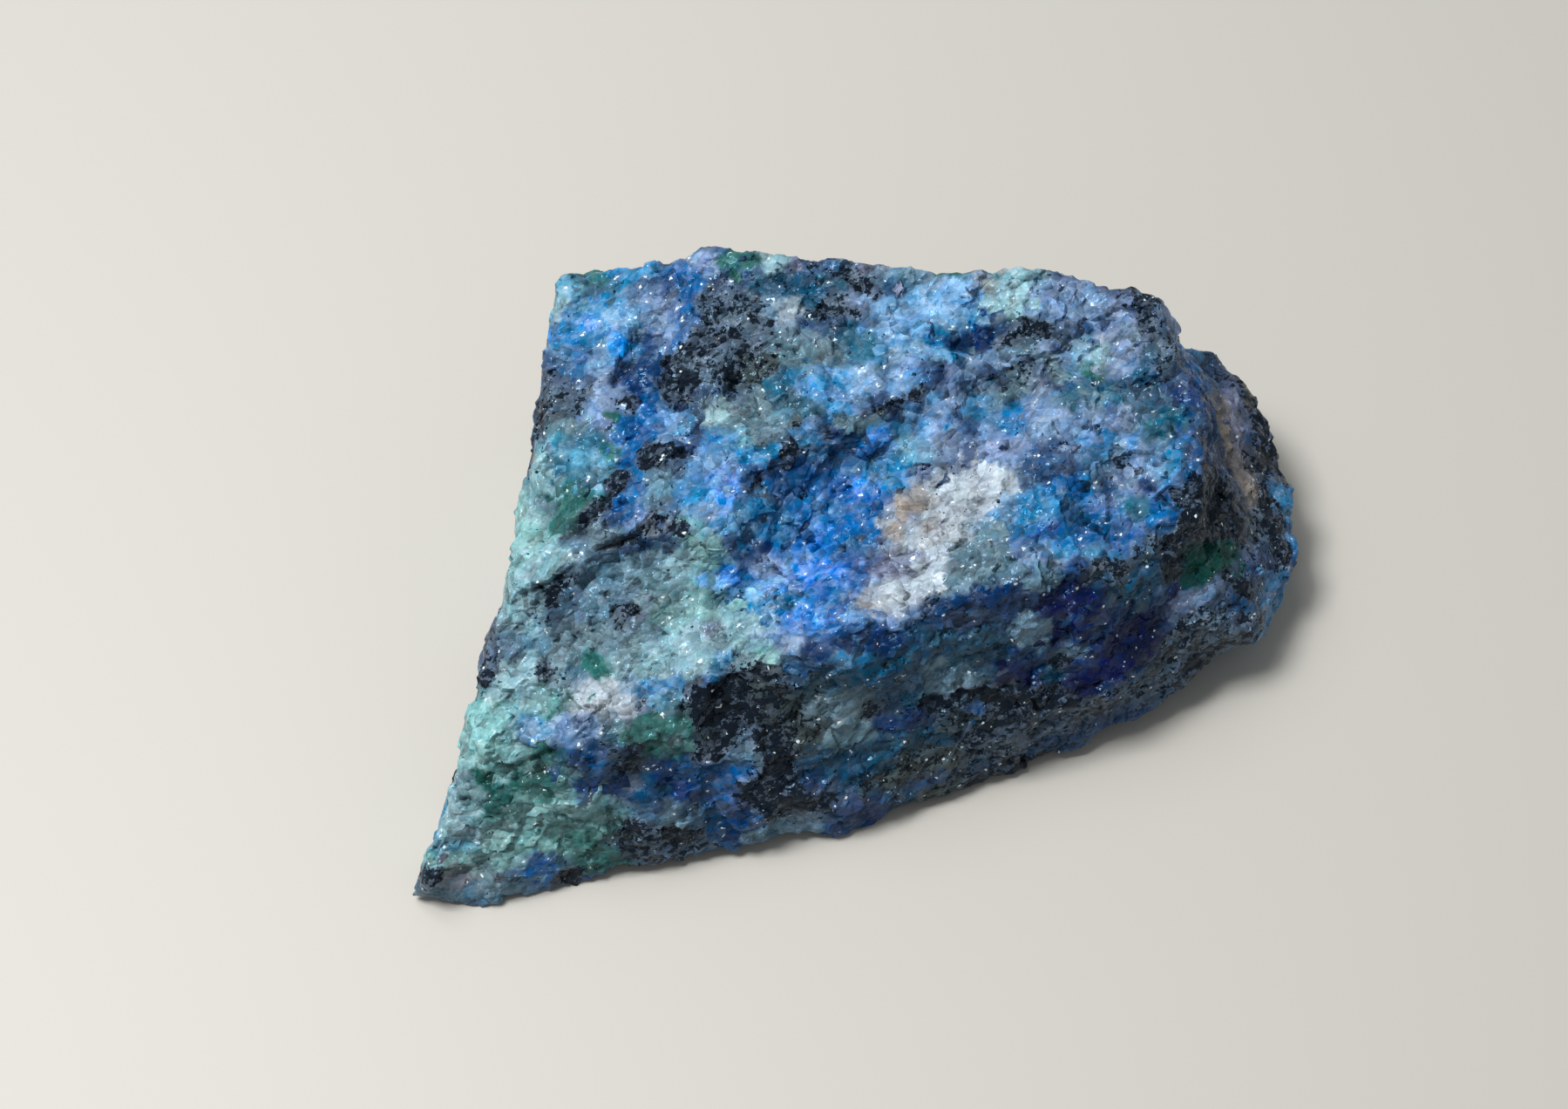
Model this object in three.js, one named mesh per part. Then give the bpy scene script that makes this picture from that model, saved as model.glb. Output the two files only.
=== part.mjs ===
// A rough stone of azurite and malachite in granular quartz, broken on all sides, as one solid.
// Millimetres, +Z up. The stone rests on z = 0, and +X runs along its straight back edge.
// The form is a loft through thirteen stations from the left side to the right end. Each station is
// a ring round the stone, over the top and back underneath. The loft is then split into small
// triangles, and every point is moved as rock breaks: ledges, chipped flats, lumps and grain.
import * as THREE from "three";
import { LoftGeometry } from "three/addons/geometries/LoftGeometry.js";
import { TessellateModifier } from "three/addons/modifiers/TessellateModifier.js";
import { ImprovedNoise } from "three/addons/math/ImprovedNoise.js";
import { mergeVertices } from "three/addons/utils/BufferGeometryUtils.js";

const LONGEST_EDGE = 2.75; // of a triangle after splitting
const SPLIT_PASSES = 14;
const SEED = 11;

// Lumps: noise of two sizes, each with its wavelength and its height.
const LUMP_SIZE = 8.5;
const LUMP_HEIGHT = 1.2;
const KNOB_SIZE = 3.4;
const KNOB_HEIGHT = 1.1;

// Chipped flats: the stone's skin is pulled towards small planes of this spacing.
const FLAT_SPACING = 4.6;
const FLAT_PULL = 0.75;
const FLAT_TILT = 0.22;
const FLAT_REACH = 1; // the furthest that a point moves
const EASE = 0.45; // how far a point's move is drawn towards its neighbours' moves, against needles

// Layers: the rock splits in low steps along its bedding, which strikes from front left to back right.
const BED_NORMAL = new THREE.Vector3(0.52, -0.74, 0.42).normalize();
const BED_SPACING = 3.1;
const BED_STEP = 0.8;

// The underside: hollows in it reach this height, and the rest of it is the flat that the stone rests on.
const HOLLOW_SIZE = 6.5;
const HOLLOW_HEIGHT = 2.6;
const HOLLOW_LEVEL = -0.06; // of the noise, above which a hollow starts
const QUIET_HEIGHT = 2.5; // below this, the lumps fade out towards the resting flat

// Form lines: each runs along the stone from its left side to its right end, one point a station.
const backRim = [
  [-27.5, 24, 23.5],
  [-22.5, 24, 24],
  [-16.5, 24, 25],
  [-13.5, 24, 27],
  [-6.5, 23.5, 27.5],
  [1, 22.5, 26.5],
  [9, 22, 26],
  [14.5, 22, 26.5],
  [19.5, 21.5, 26],
  [24.5, 20.5, 26],
  [27.5, 20.5, 25],
  [29.2, 20.5, 17],
  [35, 23.5, 12],
];
const plateau = [
  [-28.5, 10, 23],
  [-23.5, 9.5, 24],
  [-18, 10.5, 24],
  [-13, 11, 25],
  [-8, 13.5, 25],
  [-1, 15, 25],
  [6.5, 17, 25.5],
  [11.5, 18.5, 25.7],
  [17, 19, 25.8],
  [23, 17.8, 25.5],
  [28, 16.5, 24],
  [32.5, 19, 14.5],
  [38, 20.5, 10],
];
const ledgeTop = [
  [-31, -8.5, 19.5],
  [-28, -8, 21],
  [-24.5, -7, 22],
  [-19, -5, 22.5],
  [-12.5, -3.5, 23],
  [-8, 1.5, 23.5],
  [-3.5, 5, 24],
  [3.5, 8.5, 24.5],
  [9.5, 12.5, 25],
  [17.5, 14.5, 25],
  [28.5, 13, 23.7],
  [34.5, 16, 14],
  [39, 17.5, 9],
];
const ledgeFoot = [
  [-31.5, -9.8, 19],
  [-27.5, -9, 20.2],
  [-24, -7.8, 21],
  [-18.5, -5.8, 21],
  [-11.5, -4.5, 20.8],
  [-6.5, 0, 20.7],
  [-2, 4, 20.7],
  [5.5, 7.3, 21.7],
  [11.5, 11, 23],
  [19, 12.8, 24.2],
  [29.5, 10, 23],
  [35, 12.7, 13.5],
  [39.5, 13.5, 8],
];
const trough = [
  [-34.2, -14.5, 16],
  [-29.5, -14, 17],
  [-24.5, -12.5, 18],
  [-19.5, -11, 18.5],
  [-12, -8.5, 18.5],
  [-7.5, -5.5, 18.7],
  [-3, -1.5, 19],
  [5, 0.5, 20.3],
  [13, 3, 22],
  [20.5, 4.5, 22.5],
  [30.5, 3, 21],
  [36, 7, 13],
  [41, 8, 7],
];
const crest = [
  [-35, -21.5, 12.5],
  [-29, -20.5, 14],
  [-24, -19.5, 15.5],
  [-19, -18.5, 16.5],
  [-14.5, -17.5, 18],
  [-9.5, -15, 19],
  [-4, -14, 20],
  [4, -12.5, 20.5],
  [12.5, -9, 21.5],
  [20.5, -7, 20.5],
  [28.5, -2, 18.5],
  [35.5, 1, 12.5],
  [41.5, 3.5, 6.5],
];
const frontFoot = [
  [-40.5, -29, 0.5],
  [-35, -29.5, 0],
  [-30, -28.5, 0],
  [-23.5, -27, 0],
  [-16.5, -25.5, 0],
  [-10.5, -24.5, 0],
  [-3, -22.5, 0],
  [5, -20, 0],
  [14, -16.5, 0.5],
  [23, -13.5, 1.5],
  [31, -9, 4],
  [36.5, -4.5, 5],
  [40.5, -0.5, 4],
];
const underFront = [
  [-38.5, -20, 0],
  [-33, -20, 0],
  [-28, -19.5, 0],
  [-22, -18, 0],
  [-16, -16.5, 0],
  [-9, -15, 0],
  [-2, -13.5, 0],
  [6, -11, 0],
  [14, -8.5, 0],
  [22, -6, 0],
  [29.5, -2.5, 1],
  [35, 1.5, 2],
  [40, 4, 1.5],
];
const underMid = [
  [-34.5, -7, 0],
  [-30, -7, 0],
  [-26, -6, 0],
  [-20, -5, 0],
  [-14, -3, 0],
  [-8, -1, 0],
  [0, 0, 0],
  [7, 2, 0],
  [14, 4, 0],
  [21, 6, 0],
  [28, 8, 0],
  [34, 10.5, 0.5],
  [38.5, 12, 1],
];
const backFoot = [
  [-30.5, 25, 0],
  [-25, 26.5, 0],
  [-19, 27, 0],
  [-13, 27, 0],
  [-6.5, 26.5, 0],
  [1, 26, 0],
  [8.5, 25, 0],
  [14.5, 24.5, 0],
  [20, 25, 0],
  [25, 25.5, 0],
  [29.5, 25.5, 0.5],
  [33.5, 25, 1],
  [36.5, 23, 2],
];

// The point a share of the way from one form line to another, pushed out by bulge.
function between(from, to, share, bulge) {
  const push = new THREE.Vector3(...bulge);
  return from.map((point, station) =>
    new THREE.Vector3(...point)
      .lerp(new THREE.Vector3(...to[station]), share)
      .add(push),
  );
}

function pointsOf(line) {
  return line.map((point) => new THREE.Vector3(...point));
}

const ring = [
  pointsOf(backFoot),
  between(backFoot, backRim, 0.5, [0, 1.4, 0]),
  pointsOf(backRim),
  pointsOf(plateau),
  pointsOf(ledgeTop),
  pointsOf(ledgeFoot),
  pointsOf(trough),
  pointsOf(crest),
  between(crest, frontFoot, 0.32, [0, -0.5, 0.6]),
  between(crest, frontFoot, 0.7, [0, -1.0, 0.4]),
  pointsOf(frontFoot),
  pointsOf(underFront),
  pointsOf(underMid),
  between(underMid, backFoot, 0.5, [0, 0, 0]),
];
const stations = backRim.map((_, station) => ring.map((line) => line[station]));

// One closed geometry of shared points, with no triangle longer than LONGEST_EDGE.
function splitLoft() {
  const loft = new LoftGeometry(stations, { capStart: true, capEnd: true });
  const split = new TessellateModifier(LONGEST_EDGE, SPLIT_PASSES).modify(loft);
  split.deleteAttribute("normal");
  split.deleteAttribute("uv");
  return mergeVertices(split, 1e-3);
}

const noise = new ImprovedNoise();

function noiseAt(point, size, offset) {
  return noise.noise(
    point.x / size + offset,
    point.y / size - offset,
    point.z / size + 2 * offset,
  );
}

// Three noises of one size as a displacement, so that edges wander as well as rise and fall.
function noiseVector(point, size, height, offset) {
  return new THREE.Vector3(
    noiseAt(point, size, offset),
    noiseAt(point, size, offset + 17.3),
    noiseAt(point, size, offset + 41.9),
  ).multiplyScalar(height);
}

function eachPoint(geometry, change) {
  geometry.computeVertexNormals();
  const position = geometry.getAttribute("position");
  const normals = geometry.getAttribute("normal");
  const point = new THREE.Vector3();
  const normal = new THREE.Vector3();
  for (let i = 0; i < position.count; i++) {
    point.fromBufferAttribute(position, i);
    normal.fromBufferAttribute(normals, i);
    change(point, normal, i);
    position.setXYZ(i, point.x, point.y, point.z);
  }
}

// How much of the breakage a point takes: none on the resting flat, all of it above QUIET_HEIGHT.
function freedom(point) {
  return THREE.MathUtils.smoothstep(point.z, 0, QUIET_HEIGHT);
}

function addLumps(geometry) {
  eachPoint(geometry, (point, normal) => {
    const share = freedom(point);
    const lump = noiseVector(point, LUMP_SIZE, LUMP_HEIGHT, 3.7);
    const knob = KNOB_HEIGHT * noiseAt(point, KNOB_SIZE, 8.1);
    point.addScaledVector(lump, share).addScaledVector(normal, knob * share);
  });
}

// Low steps where the bedding comes to the surface: a sawtooth along the bedding's normal.
function addLayers(geometry) {
  eachPoint(geometry, (point, normal) => {
    const wander = 2.2 * noiseAt(point, 12, 5.5);
    const depth = (point.dot(BED_NORMAL) + wander) / BED_SPACING;
    const saw = depth - Math.floor(depth) - 0.5;
    point.addScaledVector(normal, saw * BED_STEP * freedom(point));
  });
}

// Seeds spread over the skin, each with the plane of the chip that it stands for.
function chipPlanes(geometry) {
  geometry.computeVertexNormals();
  const position = geometry.getAttribute("position");
  const normals = geometry.getAttribute("normal");
  const planes = [];
  THREE.MathUtils.seededRandom(SEED);
  for (let tries = 0; tries < position.count; tries++) {
    const i = Math.floor(THREE.MathUtils.seededRandom() * position.count);
    const point = new THREE.Vector3().fromBufferAttribute(position, i);
    if (planes.some((plane) => plane.point.distanceTo(point) < FLAT_SPACING))
      continue;
    const tilt = new THREE.Vector3(
      THREE.MathUtils.seededRandom() - 0.5,
      THREE.MathUtils.seededRandom() - 0.5,
      THREE.MathUtils.seededRandom() - 0.5,
    ).multiplyScalar(2 * FLAT_TILT);
    const normal = new THREE.Vector3()
      .fromBufferAttribute(normals, i)
      .add(tilt)
      .normalize();
    planes.push({ point, normal });
  }
  return planes;
}

// Pulls each point onto the plane of its nearest chip that faces the same way.
function flattenChips(geometry) {
  const planes = chipPlanes(geometry);
  eachPoint(geometry, (point, normal) => {
    let best = null;
    let bestCost = Infinity;
    for (const plane of planes) {
      const away = point.distanceTo(plane.point);
      if (away > 3 * FLAT_SPACING) continue;
      const cost = away * (2 - normal.dot(plane.normal));
      if (cost < bestCost) {
        bestCost = cost;
        best = plane;
      }
    }
    if (!best) return;
    const gap = best.point.clone().sub(point).dot(best.normal);
    const reach = THREE.MathUtils.clamp(
      gap * FLAT_PULL,
      -FLAT_REACH,
      FLAT_REACH,
    );
    point.addScaledVector(best.normal, reach * freedom(point));
  });
}

// Takes off needles: each point's move away from the loft is drawn towards its neighbours' moves.
// On a closed skin, each neighbour of a corner comes next after it in exactly one triangle.
function easeMoves(geometry, loft) {
  const position = geometry.getAttribute("position");
  const start = loft.getAttribute("position");
  const index = geometry.getIndex();
  const moves = Array.from({ length: position.count }, (_, i) =>
    new THREE.Vector3()
      .fromBufferAttribute(position, i)
      .sub(new THREE.Vector3().fromBufferAttribute(start, i)),
  );
  const sums = moves.map(() => new THREE.Vector4());
  for (let i = 0; i < index.count; i++) {
    const next = index.getX(i - (i % 3) + ((i + 1) % 3));
    sums[index.getX(i)].add(new THREE.Vector4(...moves[next], 1));
  }
  eachPoint(geometry, (point, normal, i) => {
    const { x, y, z, w } = sums[i];
    const shared = new THREE.Vector3(x, y, z).divideScalar(w);
    point.addScaledVector(shared.sub(moves[i]), EASE);
  });
}

// Hollows the underside here and there, and sets the rest of it level at z = 0.
function hollowUnderside(geometry) {
  eachPoint(geometry, (point, normal) => {
    if (normal.z > -0.55 || point.z > QUIET_HEIGHT) {
      point.z = Math.max(point.z, 0);
      return;
    }
    const hollow = noiseAt(point, HOLLOW_SIZE, 1.9) - HOLLOW_LEVEL;
    point.z = Math.max(point.z + Math.max(hollow, 0) * HOLLOW_HEIGHT, 0);
  });
}

// Sets the origin at the middle of the box, on the surface that the stone rests on.
function centre(geometry) {
  geometry.computeBoundingBox();
  const middle = geometry.boundingBox.getCenter(new THREE.Vector3());
  geometry.translate(-middle.x, -middle.y, -geometry.boundingBox.min.z);
}

const loft = splitLoft();
const skin = loft.clone();
addLumps(skin);
addLayers(skin);
flattenChips(skin);
easeMoves(skin, loft);
hollowUnderside(skin);
centre(skin);

const rock = new THREE.MeshStandardMaterial({
  color: 0x3f6f9c,
  roughness: 0.55,
  metalness: 0,
});

const stone = new THREE.Mesh(skin, rock);
stone.name = "azurite_stone";

const specimen = new THREE.Group();
specimen.add(stone);

export default specimen;
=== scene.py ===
# A rough stone of azurite and malachite in granular quartz, lying on a pale table.
# The imported solid gives the form. Here its skin is split fine and broken into chips, grains and ledges,
# and each grain gets its mineral. The patches of blue, green, white and dark rock that the camera sees
# have given places in its frame, a few dark ones being painted shade along a ledge, and those on the
# other sides are drawn at random. The shader adds painted glints and painted shade by height.
import math
import random

import bmesh
import bpy
import numpy as np
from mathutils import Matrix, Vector, bvhtree, kdtree, noise


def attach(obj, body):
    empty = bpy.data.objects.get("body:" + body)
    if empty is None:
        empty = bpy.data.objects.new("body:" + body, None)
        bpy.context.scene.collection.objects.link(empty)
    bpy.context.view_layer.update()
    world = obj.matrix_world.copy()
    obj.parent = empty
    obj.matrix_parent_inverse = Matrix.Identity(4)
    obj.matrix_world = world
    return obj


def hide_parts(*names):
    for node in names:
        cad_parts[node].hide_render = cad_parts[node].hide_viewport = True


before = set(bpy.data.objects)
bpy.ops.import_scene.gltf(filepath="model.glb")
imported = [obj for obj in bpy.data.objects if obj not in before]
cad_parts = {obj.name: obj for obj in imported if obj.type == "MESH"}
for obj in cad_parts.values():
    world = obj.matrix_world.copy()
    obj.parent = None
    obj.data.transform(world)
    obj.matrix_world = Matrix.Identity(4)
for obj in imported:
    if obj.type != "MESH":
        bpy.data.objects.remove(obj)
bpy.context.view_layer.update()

MM = 0.001
NODE = "azurite_stone"

# The camera looks along +Y and down on the stone. The axes of its view run across, up and back
AIM = Vector((-7.55, 1.15, 12)) * MM
CAMERA_DISTANCE = 260 * MM
CAMERA_ELEVATION = math.radians(58)
CAMERA_LENS = 65.04
SENSOR_WIDTH = 36
NEAR_CLIP = 10 * MM
FRAME_SIZE = (1799, 1272)
VIEW_AXES = (
    Vector((1, 0, 0)),
    Vector((0, math.sin(CAMERA_ELEVATION), math.cos(CAMERA_ELEVATION))),
    Vector((0, -math.cos(CAMERA_ELEVATION), math.sin(CAMERA_ELEVATION))),
)

# The skin: its fineness in millimetres, how it is softened before it breaks and worn after, and the
# angle from which an edge is sharp
WELD_REACH = 0.001
FACE_SIZE = 0.385
SOFTENING_ROUNDS = 3
SOFTENING = 0.5
WEAR = 0.05
CREASE_ANGLE = math.radians(24)

# The rock's facets: their spacing in millimetres, the steepest slope of one, and its most rise in
# millimetres. Then the most that one stands out, and what makes their sizes differ
CHIPS = (3.6, 0.15, 0.10)
GRAINS = (1.45, 0.24, 0.04)
FACET_REACH = 0.42
GRAIN_SIZE_SPREAD = 0.45
SEED_CLOSENESS = 0.8
RIVAL_CELLS = 4

# Bedding, given by the normal of its layers, strikes from front left to back right. Fine steps show
# where the layers break off, and come and go about a middle strength
BEDDING = Vector((0.52, -0.74, 0.42)).normalized()
STRIKE_TURN = math.radians(34)
STEP_SPACING = 1.9
STEP_HEIGHT = 0.24
STEP_STRENGTH = 0.5

# Smooth random numbers, each by the size of its waves in millimetres, its height and a seed
STEP_WANDER = (6, 1.6, 3.1)
STEP_FADE = (9, 1.2, 7.7)
ZONE_WANDER = (17, 1.3, 2.2)
GRAIN_EDGE = (1.2, 0.6, 11)
SMOOTH_EDGE = (2.0, 0.9, 11)
STRAY_EDGE = (1.6, 3.0, 37)
AXIS_SEED = 7

# Seeds of what is drawn at random
PATCH_DRAW = 5
CHIP_DRAW = 6
GRAIN_DRAW = 7

# Colours of the minerals under white light, as red, green and blue from 0 to 255
MINERALS = {
    "ultramarine": (0, 6, 66),
    "navy azurite": (0, 42, 94),
    "royal azurite": (8, 80, 142),
    "azure": (46, 110, 160),
    "cornflower azurite": (44, 118, 204),
    "sky blue": (98, 142, 186),
    "turquoise": (74, 130, 158),
    "teal": (40, 84, 108),
    "dark teal": (26, 68, 98),
    "sage quartz": (86, 112, 126),
    "pale mint": (114, 150, 162),
    "mint malachite": (110, 154, 158),
    "green malachite": (42, 92, 90),
    "emerald malachite": (0, 66, 58),
    "white quartz": (154, 166, 178),
    "lavender quartz": (98, 124, 162),
    "pink quartz": (100, 106, 132),
    "grey quartz": (84, 116, 138),
    "slate quartz": (38, 64, 102),
    "dusty quartz": (104, 102, 108),
    "iron stain": (134, 126, 118),
    "speckled mica": (78, 96, 116),
    "olive mica": (66, 78, 80),
    "black mica": (70, 82, 100),
}
# How much dark mica is sprinkled through each mineral, and how clear and bright its grains are
MICA = {
    "speckled mica": 0.62,
    "olive mica": 0.66,
    "black mica": 0.98,
    "slate quartz": 0.3,
    "dark teal": 0.3,
}
PLAIN_MICA = 0.02

# Patches of mineral where the camera sees them, and a few dark ones that are painted shade along a ledge.
# Each is an ellipse: the pixels across and down of its centre in a frame of 1799 by 1272, its half length
# and half width in pixels, and its turn in degrees
PATCHES = {
    "pale mint": [
        (524, 948, 16, 12, 0),
        (625, 556, 12, 12, 0),
        (1212, 412, 12, 10, 0), (528, 955, 16, 14, 0), (625, 552, 14, 14, 0), (775, 655, 18, 12, 0),
        (522, 955, 18, 14, 0), (532, 926, 22, 18, 40),
        (640, 352, 12, 12, 0), (822, 482, 14, 10, 80), (890, 299, 14, 10, 0), (1158, 335, 32, 20, 30),
        (1245, 408, 22, 12, 15), (614, 565, 38, 9, 85), (612, 655, 38, 12, 30), (592, 703, 26, 16, 0),
        (600, 785, 36, 20, 0), (800, 738, 66, 20, 10), (770, 765, 44, 12, 12), (845, 722, 44, 16, 5),
        (740, 748, 34, 12, 15),
    ],
    "mint malachite": [
        (625, 806, 18, 12, 0), (594, 600, 30, 9, 80), (603, 622, 26, 15, 70), (590, 648, 18, 14, 0),
        (816, 640, 40, 20, 90), (780, 690, 34, 24, 20), (565, 832, 42, 32, 0), (575, 870, 36, 12, 0),
        (640, 930, 58, 30, 0), (540, 985, 44, 12, 0), (860, 752, 30, 9, 8), (612, 965, 40, 16, 0),
    ],
    "green malachite": [
        (625, 862, 16, 12, 0), (778, 856, 16, 9, 0), (622, 905, 20, 14, 0), (679, 314, 9, 9, 0),
        (850, 299, 26, 8, 0), (652, 583, 24, 14, 45), (697, 513, 9, 9, 0), (1258, 426, 12, 8, 0),
        (1087, 312, 14, 5, 0), (685, 767, 15, 9, 0), (635, 803, 20, 11, 0), (742, 832, 44, 13, 5),
        (566, 922, 17, 20, 0), (655, 955, 42, 20, 0), (600, 900, 26, 12, 0), (765, 853, 26, 9, 0),
        (697, 988, 26, 11, 0), (1322, 505, 12, 8, 0), (622, 560, 8, 16, 90),
    ],
    "emerald malachite": [
        (1388, 641, 26, 18, 15), (1376, 650, 14, 10, 0), (1400, 632, 14, 10, 0), (555, 892, 14, 5, 0),
        (629, 913, 10, 8, 0), (781, 822, 8, 6, 0), (1395, 628, 20, 8, 0),
    ],
    "turquoise": [
        (648, 520, 10, 8, 0),
        (652, 340, 18, 14, 0), (672, 525, 22, 22, 0), (640, 505, 14, 12, 0), (1045, 511, 15, 13, 0),
        (520, 970, 18, 10, 0), (760, 806, 20, 9, 10), (850, 500, 10, 12, 0),
    ],
    "teal": [
        (676, 556, 14, 12, 0),
        (1276, 456, 18, 12, 0),
        (672, 506, 14, 10, 0), (1304, 588, 16, 13, 0), (702, 332, 18, 5, 0), (960, 322, 14, 9, 0),
        (647, 535, 12, 16, 0), (990, 398, 28, 20, 0), (905, 470, 18, 14, 0), (1228, 456, 22, 8, 5),
        (890, 445, 14, 16, 0), (1325, 487, 20, 20, 0),
    ],
    "sage quartz": [
        (776, 852, 14, 9, 0),
        (726, 756, 18, 9, 0), (692, 612, 14, 12, 0), (930, 400, 34, 15, 0), (872, 480, 26, 22, 0),
        (652, 490, 22, 12, 0), (700, 730, 58, 16, 10), (1120, 643, 34, 20, 20), (990, 484, 20, 4, 15),
        (970, 838, 30, 18, 0), (770, 668, 44, 22, 10), (1150, 446, 24, 12, 30), (655, 745, 30, 12, 20),
        (960, 805, 36, 16, 0), (1258, 455, 18, 6, 0),
    ],
    "azure": [
        (1076, 455, 14, 9, 0),
        (976, 757, 20, 9, 5),
        (1076, 405, 18, 10, 0), (1160, 600, 14, 12, 0),
        (726, 355, 14, 12, 0), (1275, 506, 18, 12, 0), (826, 508, 14, 12, 0), (728, 402, 10, 14, 0),
        (872, 567, 12, 12, 0), (930, 502, 16, 10, 0), (885, 572, 14, 12, 0), (1125, 462, 16, 10, 0),
        (828, 605, 18, 12, 0), (1248, 540, 13, 26, 0), (655, 372, 18, 12, 0), (700, 345, 22, 10, 0),
        (718, 311, 30, 11, 0), (674, 386, 32, 26, 0), (940, 438, 26, 15, 0), (962, 463, 20, 8, 30),
        (800, 562, 18, 18, 0), (1016, 536, 22, 26, 0), (1090, 374, 30, 10, 20), (1203, 585, 44, 20, 0),
        (1228, 630, 40, 8, -5), (1345, 538, 18, 12, 0), (1474, 588, 40, 8, -78), (1465, 681, 22, 16, 10),
        (602, 832, 16, 16, 0), (742, 791, 20, 9, 10), (772, 785, 18, 7, 0), (825, 753, 11, 8, 0),
        (812, 772, 18, 4, 8), (885, 600, 28, 18, 0), (1056, 480, 14, 16, 0), (900, 692, 34, 12, 0),
        (1160, 480, 14, 16, 0), (865, 520, 28, 7, 15), (1370, 402, 14, 8, -30),
    ],
    "cornflower azurite": [
        (826, 655, 12, 10, 0), (676, 372, 14, 10, 0),
        (925, 706, 28, 18, 0), (925, 657, 34, 16, 0), (825, 556, 14, 20, 0), (1012, 505, 14, 14, 0),
        (938, 605, 24, 22, 0), (700, 398, 12, 14, 0), (990, 560, 14, 12, 0),
    ],
    "sky blue": [
        (1222, 410, 18, 9, 10),
        (1075, 464, 16, 9, 0), (822, 664, 12, 9, 0), (975, 700, 16, 12, 0), (1235, 412, 16, 10, 0),
        (700, 362, 16, 12, 0), (688, 412, 14, 12, 0), (818, 540, 16, 14, 0), (1072, 350, 46, 20, 20),
        (1030, 380, 24, 26, 0), (765, 478, 14, 18, 0), (882, 670, 30, 13, 0), (1060, 500, 12, 16, 0),
        (1040, 435, 18, 10, 20), (985, 430, 18, 12, 0),
    ],
    "royal azurite": [
        (1276, 612, 24, 14, 0), (1262, 590, 18, 12, 0),
        (1278, 602, 22, 14, 0), (676, 404, 12, 10, 0), (1226, 602, 30, 16, 0), (1282, 606, 20, 12, 0),
        (668, 404, 12, 12, 0), (892, 640, 14, 9, 0), (880, 545, 10, 10, 0), (1222, 604, 26, 12, 0),
        (1332, 592, 18, 14, 0), (1215, 612, 40, 12, 0), (1240, 560, 24, 12, 0), (785, 345, 40, 14, 85),
        (720, 492, 22, 12, 80), (723, 522, 24, 8, 85), (724, 565, 18, 13, 70), (955, 596, 44, 40, 0),
        (950, 685, 42, 28, 0), (852, 664, 18, 10, 0), (1255, 590, 36, 16, 0), (1375, 425, 15, 18, 0),
        (1357, 515, 26, 9, 85), (688, 893, 20, 8, -75), (815, 893, 30, 16, 10), (618, 997, 16, 18, 0),
        (752, 470, 28, 7, 90), (985, 712, 26, 9, 5), (930, 566, 32, 20, 0), (1120, 812, 14, 5, 8),
        (1180, 620, 20, 10, 0), (800, 780, 26, 5, 8),
    ],
    "navy azurite": [
        (1278, 604, 18, 10, 0), (1225, 606, 18, 8, 0),
        (1276, 700, 18, 14, 0), (680, 900, 16, 12, 0),
        (1372, 452, 10, 16, 0), (1238, 598, 14, 8, 0), (680, 905, 22, 16, 0), (722, 905, 16, 14, 0),
        # The narrow patch at 912, 532 is painted shade in the hollow under the long ledge
        (1172, 752, 18, 10, 0), (736, 388, 20, 10, 60), (735, 430, 22, 18, 0), (912, 532, 16, 6, 40),
        (1115, 389, 34, 10, 25), (768, 905, 28, 24, 0), (828, 948, 20, 13, 0), (1030, 828, 24, 9, 5),
        (1240, 762, 22, 9, 10), (960, 741, 32, 10, 5), (1308, 560, 10, 7, 0), (1020, 740, 20, 8, 0),
        (940, 895, 20, 9, 10), (1130, 690, 30, 12, 10),
    ],
    "ultramarine": [
        (1296, 734, 15, 11, 0), (1254, 697, 9, 8, 0), (1180, 778, 12, 8, 0), (1280, 722, 12, 9, 0),
        (1302, 748, 13, 9, 0), (1308, 724, 10, 9, 0), (1236, 690, 10, 7, 0), (1215, 690, 8, 7, 0),
        (1164, 772, 12, 7, 0), (1236, 780, 9, 7, 0), (1208, 695, 11, 13, 0), (1246, 690, 24, 15, -45),
        (1294, 735, 34, 25, 20), (1211, 735, 8, 14, 0), (1176, 775, 28, 17, 0), (1243, 783, 17, 13, 20),
        (1350, 687, 8, 11, 0), (1275, 757, 22, 12, 0), (1120, 815, 20, 6, 10), (1245, 730, 12, 12, 0),
    ],
    "lavender quartz": [
        (726, 604, 16, 10, 30),
        (1238, 400, 16, 12, 0), (1222, 402, 18, 12, 0), (1090, 455, 16, 12, 0), (1320, 528, 18, 14, 0),
        (1290, 560, 20, 12, 0), (766, 366, 24, 18, 0), (802, 300, 22, 8, 0), (895, 645, 42, 10, 8),
        (1125, 431, 30, 10, 30), (1278, 487, 26, 20, 0), (1291, 405, 13, 20, 0), (890, 730, 32, 12, -10),
        (1371, 683, 20, 9, 15), (690, 470, 20, 14, 80), (812, 583, 16, 10, 0), (1020, 706, 34, 8, 5),
        (655, 838, 32, 12, 5), (1215, 345, 32, 18, 0), (1272, 366, 26, 12, 0), (1080, 498, 14, 18, 0),
        (985, 345, 16, 12, 0), (1195, 478, 26, 20, 0), (735, 350, 18, 12, 0), (705, 460, 20, 16, 0),
        (1105, 432, 40, 9, 30), (1150, 510, 22, 20, 0), (1190, 640, 18, 10, 0),
    ],
    "white quartz": [
        (1228, 402, 16, 9, 0),
        (1086, 590, 52, 32, 20), (1005, 690, 34, 14, 5), (692, 803, 38, 13, 10), (1255, 397, 26, 6, 15),
        (1184, 465, 16, 3, 65), (1060, 655, 30, 14, 30), (903, 357, 12, 8, 0), (1130, 560, 24, 16, 20),
        (730, 612, 22, 4, 35),
    ],
    "pink quartz": [
        (903, 305, 12, 7, 0), (1000, 308, 14, 6, 0), (1038, 650, 26, 14, 0), (1416, 482, 30, 10, 85),
        (1045, 594, 10, 14, 0), (1266, 612, 6, 5, 0), (725, 817, 22, 5, 10), (810, 727, 16, 8, 0),
    ],
    "grey quartz": [
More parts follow.
